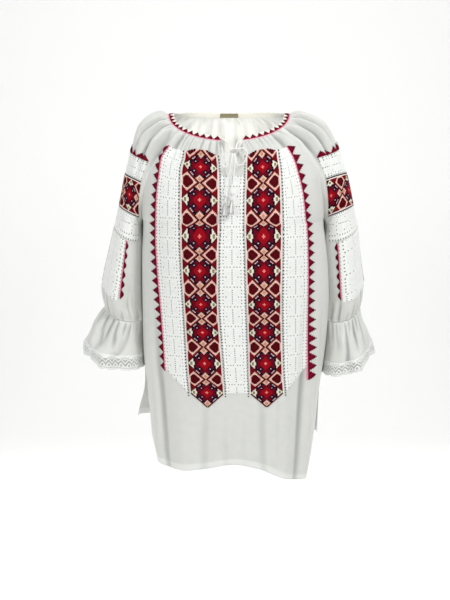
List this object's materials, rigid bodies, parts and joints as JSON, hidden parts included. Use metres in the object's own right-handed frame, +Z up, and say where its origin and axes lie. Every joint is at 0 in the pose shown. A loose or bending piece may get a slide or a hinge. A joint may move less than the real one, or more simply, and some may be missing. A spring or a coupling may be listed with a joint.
{
  "type": "embroidered peasant blouse",
  "caption": "White cotton peasant blouse with gathered drawstring neck, raglan sleeves ending in ruffles, and bands of folk embroidery down the front and across the sleeves.",
  "frame": {"origin": "middle of the neck opening at the height where its sides rest on the neck (mount neck_rest)", "axes": "+Z up the worn garment, -Y out of its front, +X to the wearer's left"},
  "size_m": [0.5562, 0.2466, 0.6776],
  "materials": {
    "cotton": "plain weave, matte, slightly sheer",
    "drawn_thread": "white on white drawn-thread work",
    "embroidery": "cross stitch in maroon, red, black and peach",
    "maroon_trim": "counted stitch in maroon",
    "lace": "openwork edging",
    "cord": "twisted cotton cord",
    "label": "plain woven tape"
  },
  "bodies": {
    "root": {"front": "cotton", "back": "cotton", "neckband": "cotton", "label": "label", "front_colour_band_right": "embroidery", "front_colour_band_left": "embroidery", "front_white_band_right": "drawn_thread", "front_zigzag_right": "maroon_trim", "front_white_band_left": "drawn_thread", "front_zigzag_left": "maroon_trim", "front_white_band_centre": "drawn_thread", "sleeve_right": "cotton", "forearm_right": "cotton", "sleeve_right_upper_white_band": "drawn_thread", "sleeve_right_colour_band": "embroidery", "sleeve_right_lower_white_band": "drawn_thread", "sleeve_right_strip": "drawn_thread", "sleeve_right_top_zigzag": "maroon_trim", "sleeve_right_front_zigzag": "maroon_trim", "sleeve_right_back_zigzag": "maroon_trim", "ruffle_right": "cotton", "ruffle_lace_right": "lace", "sleeve_left": "cotton", "forearm_left": "cotton", "sleeve_left_upper_white_band": "drawn_thread", "sleeve_left_colour_band": "embroidery", "sleeve_left_lower_white_band": "drawn_thread", "sleeve_left_strip": "drawn_thread", "sleeve_left_top_zigzag": "maroon_trim", "sleeve_left_front_zigzag": "maroon_trim", "sleeve_left_back_zigzag": "maroon_trim", "ruffle_left": "cotton", "ruffle_lace_left": "lace", "drawstring_bow": "cord", "drawstring_tail_right": "cord", "tassel_right": "cord", "drawstring_tail_left": "cord", "tassel_left": "cord"}
  },
  "joints": []
}
